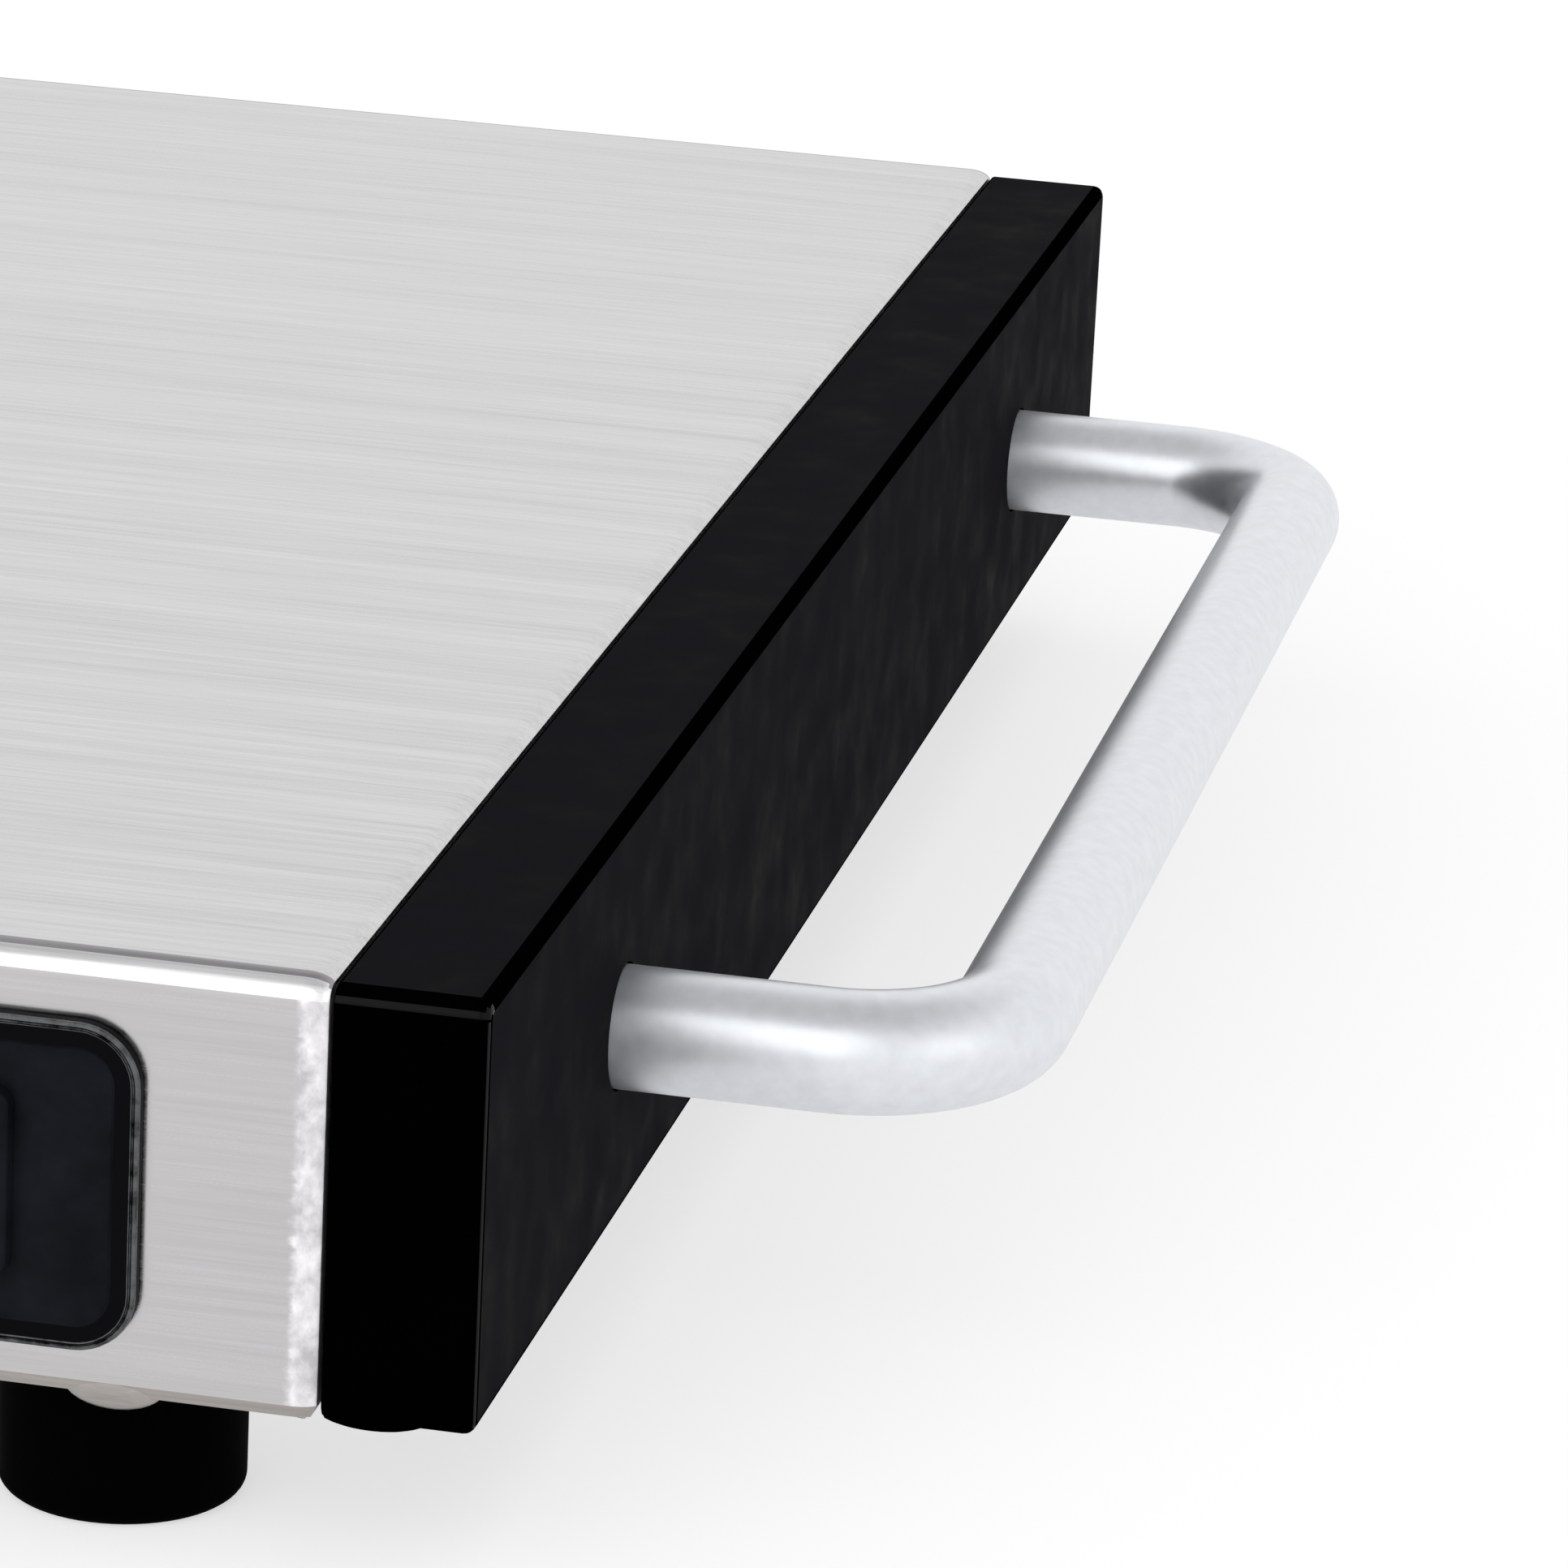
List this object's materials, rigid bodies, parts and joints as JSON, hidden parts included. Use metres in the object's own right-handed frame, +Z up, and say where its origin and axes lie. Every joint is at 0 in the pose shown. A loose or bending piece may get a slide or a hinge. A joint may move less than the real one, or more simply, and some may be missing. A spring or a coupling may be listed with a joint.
{
  "type": "electric food warmer tray",
  "caption": "Flat electric warming tray: brushed steel cover, black end caps, tube handles, front panel with rocker switch, lamp and heat knob, rubber feet.",
  "frame": {"origin": "middle of the whole tray's footprint, on the surface that the feet stand on", "axes": "+X to the right end, +Y to the rear, +Z up; the control panel faces -Y"},
  "size_m": [0.6556, 0.4044, 0.0672],
  "materials": {
    "brushed_steel": "brushed along the length",
    "black_plastic": "satin moulded",
    "panel_plastic": "satin moulded",
    "satin_aluminium": "satin anodised",
    "black_rubber": "matt",
    "zinc_steel": "zinc plated",
    "brass": "plain",
    "amber_lens": "clear amber",
    "insulation": "mineral fibre",
    "element_sheath": "oxidised steel",
    "wire_brown": "insulated wire",
    "wire_blue": "insulated wire",
    "wire_earth": "insulated wire"
  },
  "bodies": {
    "tray": {"top_cover": "brushed_steel", "base_plate": "zinc_steel", "base_screw_1": "zinc_steel", "base_screw_2": "zinc_steel", "base_screw_3": "zinc_steel", "base_screw_4": "zinc_steel", "base_screw_5": "zinc_steel", "base_screw_6": "zinc_steel", "earth_screw": "brass", "foot_right_front": "black_rubber", "foot_right_rear": "black_rubber", "foot_left_front": "black_rubber", "foot_left_rear": "black_rubber", "foot_screw_right_front": "zinc_steel", "foot_screw_right_rear": "zinc_steel", "foot_screw_left_front": "zinc_steel", "foot_screw_left_rear": "zinc_steel", "end_cap_right": "black_plastic", "end_cap_left": "black_plastic", "handle_right": "satin_aluminium", "handle_left": "satin_aluminium", "handle_insert_right_front": "brass", "handle_insert_right_rear": "brass", "handle_insert_left_front": "brass", "handle_insert_left_rear": "brass", "handle_screw_right_front": "zinc_steel", "handle_screw_right_rear": "zinc_steel", "handle_screw_left_front": "zinc_steel", "handle_screw_left_rear": "zinc_steel", "control_panel": "panel_plastic", "rocker_housing": "black_plastic", "rocker_terminal_1": "brass", "rocker_terminal_2": "brass", "thermostat_body": "zinc_steel", "thermostat_nut": "brass", "pilot_holder": "black_plastic", "pilot_lens": "amber_lens", "heat_spreader": "satin_aluminium", "heating_element": "element_sheath", "element_clip_1": "zinc_steel", "element_clip_2": "zinc_steel", "element_clip_3": "zinc_steel", "element_clip_4": "zinc_steel", "insulation_pad": "insulation", "retainer_plate": "zinc_steel", "thermal_cutout": "zinc_steel", "power_inlet": "black_plastic", "inlet_pin_live": "brass", "inlet_pin_neutral": "brass", "inlet_pin_earth": "brass", "wire_inlet_to_switch": "wire_brown", "wire_switch_to_thermostat": "wire_brown", "wire_thermostat_to_cutout": "wire_brown", "wire_cutout_to_element": "wire_brown", "wire_inlet_to_element": "wire_blue", "wire_earth": "wire_earth"},
    "rocker": {"rocker_button": "black_plastic"},
    "knob": {"thermostat_knob": "black_plastic", "thermostat_shaft": "zinc_steel"}
  },
  "joints": [
    {"name": "rocker_tilt", "type": "hinge", "parent": "tray", "child": "rocker", "pos_m": [0.2227, -0.18365, 0.042], "axis": [-1, 0, 0], "range_deg": [0, 16]},
    {"name": "thermostat_turn", "type": "hinge", "parent": "tray", "child": "knob", "pos_m": [0.1558, -0.18405, 0.042], "axis": [0, 1, 0], "range_deg": [0, 270]}
  ]
}
